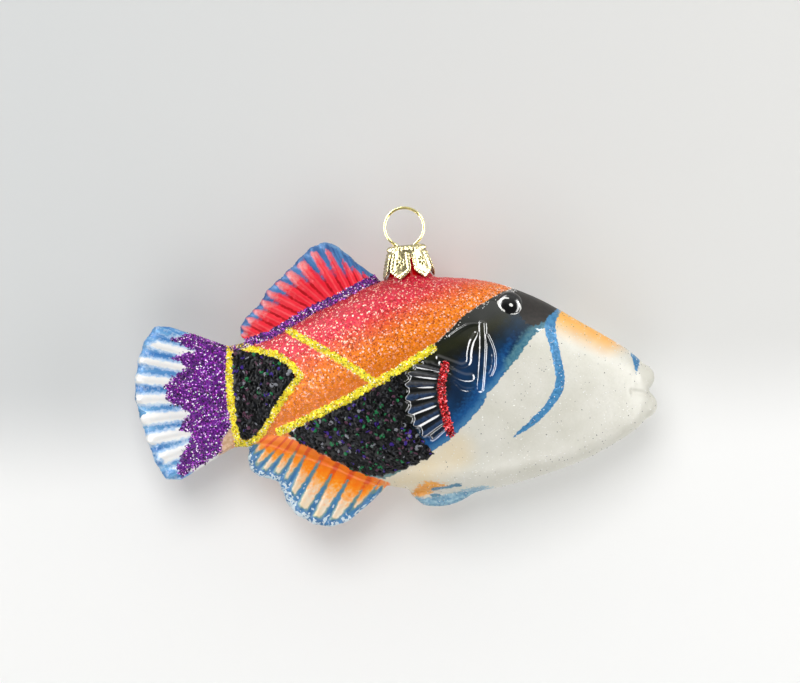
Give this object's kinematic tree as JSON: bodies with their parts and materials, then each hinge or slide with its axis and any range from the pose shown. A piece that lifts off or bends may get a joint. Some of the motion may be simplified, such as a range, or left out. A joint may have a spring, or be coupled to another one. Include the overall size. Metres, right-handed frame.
{
  "type": "glass triggerfish ornament",
  "caption": "Hand-painted, glittered blown-glass triggerfish tree ornament with a metal crown cap and wire hanger, lying on its left flank.",
  "frame": {"origin": "centre of the bounding box, on the table under the left flank", "axes": "+X towards the mouth, +Y towards the back and the hanger, +Z out of the right flank and up"},
  "size_m": [0.1308, 0.0802, 0.0386],
  "materials": {
    "pearl_white_glass": "white lacquer over silvered glass, dusted with clear glitter",
    "orange_red_glass": "lacquer shaded from crimson to orange under clear and coloured glitter",
    "black_glitter_glass": "black lacquer under coarse black glitter",
    "purple_white_glass": "white lacquer with purple glitter and blue strokes",
    "red_blue_glass": "satin red lacquer with a blue brushed edge",
    "orange_blue_glass": "satin orange lacquer with blue brush strokes",
    "blue_gloss_glass": "high gloss blue to black lacquer",
    "black_gloss_glass": "high gloss black lacquer with a white painted ring",
    "red_lacquered_glass": "glossy red lacquer over silvered glass",
    "gold_tinplate": "thin embossed metal, pale gold, bright",
    "gold_wire": "bright pale gold spring wire"
  },
  "bodies": {
    "root": {"head": "pearl_white_glass", "trunk": "orange_red_glass", "tail_stem": "black_glitter_glass", "tail_fin": "purple_white_glass", "dorsal_fin": "red_blue_glass", "anal_fin": "orange_blue_glass", "pelvic_fin": "orange_blue_glass", "pectoral_fin_right": "blue_gloss_glass", "pectoral_fin_left": "blue_gloss_glass", "gill_cover_right": "blue_gloss_glass", "gill_cover_left": "blue_gloss_glass", "eye_right": "black_gloss_glass", "eye_left": "black_gloss_glass", "neck": "red_lacquered_glass", "crown_cap": "gold_tinplate", "hanger_wire": "gold_wire"}
  },
  "joints": []
}
